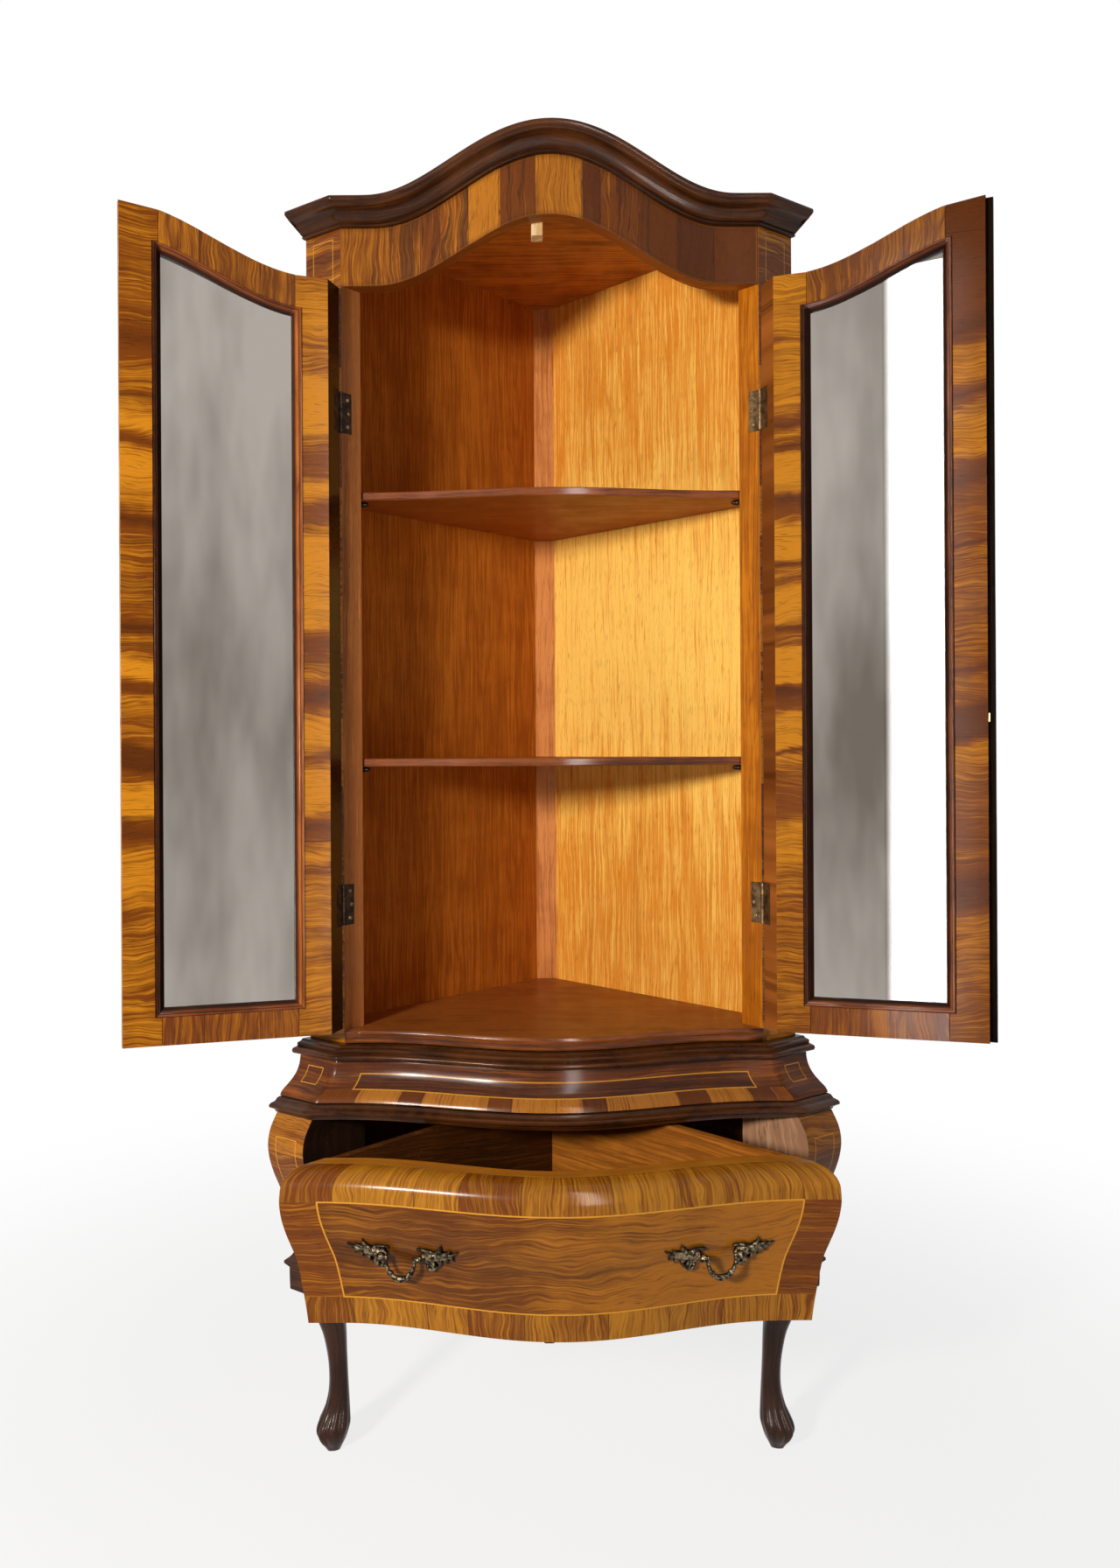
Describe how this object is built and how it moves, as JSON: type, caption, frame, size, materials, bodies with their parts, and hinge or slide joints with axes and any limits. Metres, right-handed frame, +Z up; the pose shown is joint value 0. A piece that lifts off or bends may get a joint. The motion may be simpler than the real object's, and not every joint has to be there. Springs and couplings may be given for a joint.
{
  "type": "corner curio cabinet",
  "caption": "Bow-fronted corner display cabinet with arched cornice, hinged glazed doors, shelves and a swelling base drawer on cabriole legs.",
  "frame": {"origin": "on the floor, under the middle of the whole part's box as it stands with its doors swung open and its drawer drawn out", "axes": "+Z up, the bowed front faces -Y, +X is to the viewer's right, the rear corner is the cabinet's +Y end"},
  "size_m": [1.2316, 0.6978, 1.9519],
  "materials": {
    "veneer": "figured honey-brown veneer under a clear polish",
    "dark_wood": "carved and moulded wood stained very dark, polished",
    "panel_wood": "plain thin boards, thinly varnished",
    "pale_wood": "raw pale wood",
    "bead_wood": "reddish dark moulded bead, polished",
    "glass": "clear flat glass",
    "hinge_metal": "worn dull brass",
    "bronze": "blackened cast bronze with bright rubbed edges",
    "brass": "polished brass",
    "black_iron": "black iron"
  },
  "bodies": {
    "carcass": {"apron": "dark_wood", "back_panel_left": "panel_wood", "back_panel_right": "panel_wood", "base_bottom": "panel_wood", "belt_moulding": "dark_wood", "catch_block": "pale_wood", "ceiling_board": "panel_wood", "corner_post_left": "veneer", "corner_post_right": "veneer", "cornice": "dark_wood", "display_floor": "veneer", "drawer_runner": "panel_wood", "frieze": "veneer", "front_leg_left": "dark_wood", "front_leg_right": "dark_wood", "hinge_lower_left_case_leaf": "hinge_metal", "hinge_lower_right_case_leaf": "hinge_metal", "hinge_upper_left_case_leaf": "hinge_metal", "hinge_upper_right_case_leaf": "hinge_metal", "peg_lower_left": "dark_wood", "peg_lower_right": "dark_wood", "peg_upper_left": "dark_wood", "peg_upper_right": "dark_wood", "rear_corner_post": "panel_wood", "rear_leg": "dark_wood", "shelf_lower": "veneer", "shelf_upper": "veneer", "shoulder_moulding": "dark_wood", "stile_left": "veneer", "stile_right": "veneer", "waist": "veneer"},
    "left_door": {"door_left_bottom_rail": "veneer", "door_left_glass": "glass", "door_left_glazing_bead": "bead_wood", "door_left_hinge_stile": "veneer", "door_left_meeting_stile": "veneer", "door_left_top_rail": "veneer", "hinge_lower_left_door_leaf": "hinge_metal", "hinge_upper_left_door_leaf": "hinge_metal"},
    "right_door": {"door_right_bottom_rail": "veneer", "door_right_glass": "glass", "door_right_glazing_bead": "bead_wood", "door_right_hinge_stile": "veneer", "door_right_meeting_stile": "veneer", "door_right_top_rail": "veneer", "hinge_lower_right_door_leaf": "hinge_metal", "hinge_upper_right_door_leaf": "hinge_metal", "pull_rosette": "brass"},
    "lock_bolt": {"lock_bolt": "brass"},
    "pull_ring": {"pull_ring": "black_iron"},
    "drawer": {"drawer_bottom": "panel_wood", "drawer_front": "veneer", "drawer_side_left": "panel_wood", "drawer_side_right": "panel_wood", "handle_left_inner_leaf": "bronze", "handle_left_outer_leaf": "bronze", "handle_right_inner_leaf": "bronze", "handle_right_outer_leaf": "bronze"},
    "left_bail": {"handle_left_bail": "bronze"},
    "right_bail": {"handle_right_bail": "bronze"}
  },
  "joints": [
    {"name": "left_door_hinge", "type": "hinge", "parent": "carcass", "child": "left_door", "pos_m": [-0.3187, -0.06455, 0], "axis": [0, 0, 1], "range_deg": [-15, 153]},
    {"name": "right_door_hinge", "type": "hinge", "parent": "carcass", "child": "right_door", "pos_m": [0.30629, -0.06455, 0], "axis": [0, 0, 1], "range_deg": [-153, 15]},
    {"name": "drawer_slide", "type": "slide", "parent": "carcass", "child": "drawer", "axis": [0, -1, 0], "range_m": [-0.178, 0.02]},
    {"name": "left_bail_swing", "type": "hinge", "parent": "drawer", "child": "left_bail", "pos_m": [-0.21321, -0.30542, 0.404], "axis": [-0.9735, 0.2287, 0], "range_deg": [0, 85]},
    {"name": "right_bail_swing", "type": "hinge", "parent": "drawer", "child": "right_bail", "pos_m": [0.20079, -0.30542, 0.404], "axis": [-0.9735, -0.2287, 0], "range_deg": [0, 85]},
    {"name": "pull_ring_swing", "type": "hinge", "parent": "right_door", "child": "pull_ring", "pos_m": [0.59149, -0.14121, 1.122], "axis": [0.9243, -0.3818, 0], "range_deg": [0, 80]},
    {"name": "lock_bolt_slide", "type": "slide", "parent": "right_door", "child": "lock_bolt", "axis": [0.891, -0.454, 0], "range_m": [-0.0025, 0.005]}
  ]
}
